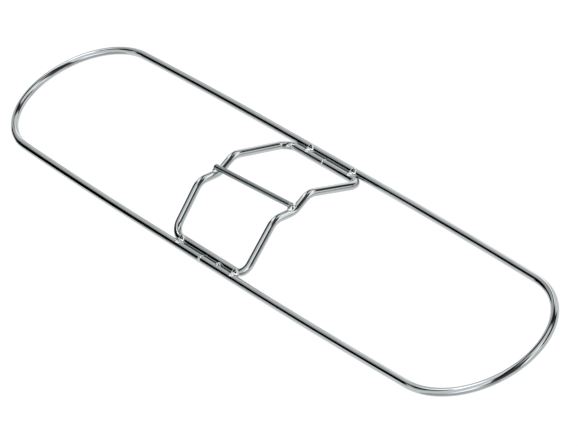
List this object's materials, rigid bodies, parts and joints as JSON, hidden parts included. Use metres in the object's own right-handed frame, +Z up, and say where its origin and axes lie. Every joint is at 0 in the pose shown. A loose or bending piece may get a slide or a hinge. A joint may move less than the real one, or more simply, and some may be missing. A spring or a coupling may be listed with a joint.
{
  "type": "dust mop frame",
  "caption": "Welded wire frame for a flat dust mop: a long looped rim that fills the mop head's pocket, and a raised bridge with a rod that the handle's spring clip grips.",
  "frame": {"origin": "centre of the frame's footprint, on the plane the rim rests on", "axes": "+X along the long side, +Y across, +Z up from the rim towards the handle rod"},
  "size_m": [0.6098, 0.127, 0.0285],
  "materials": {
    "plated_wire": "bright decorative chrome over round steel wire",
    "satin_rod": "bright-drawn steel rod, thinly plated and satin, darker than the wires",
    "weld_metal": "weld beads plated over with the wires, rippled and slightly rougher"
  },
  "bodies": {
    "root": {"rim_wire": "plated_wire", "bridge_wire": "plated_wire", "handle_rod": "satin_rod", "rim_butt_weld": "weld_metal", "bridge_butt_weld": "weld_metal", "side_weld_front_left": "weld_metal", "side_weld_front_right": "weld_metal", "side_weld_rear_left": "weld_metal", "side_weld_rear_right": "weld_metal", "rim_tack_weld": "weld_metal", "rod_weld_left": "weld_metal", "rod_weld_right": "weld_metal"}
  },
  "joints": []
}
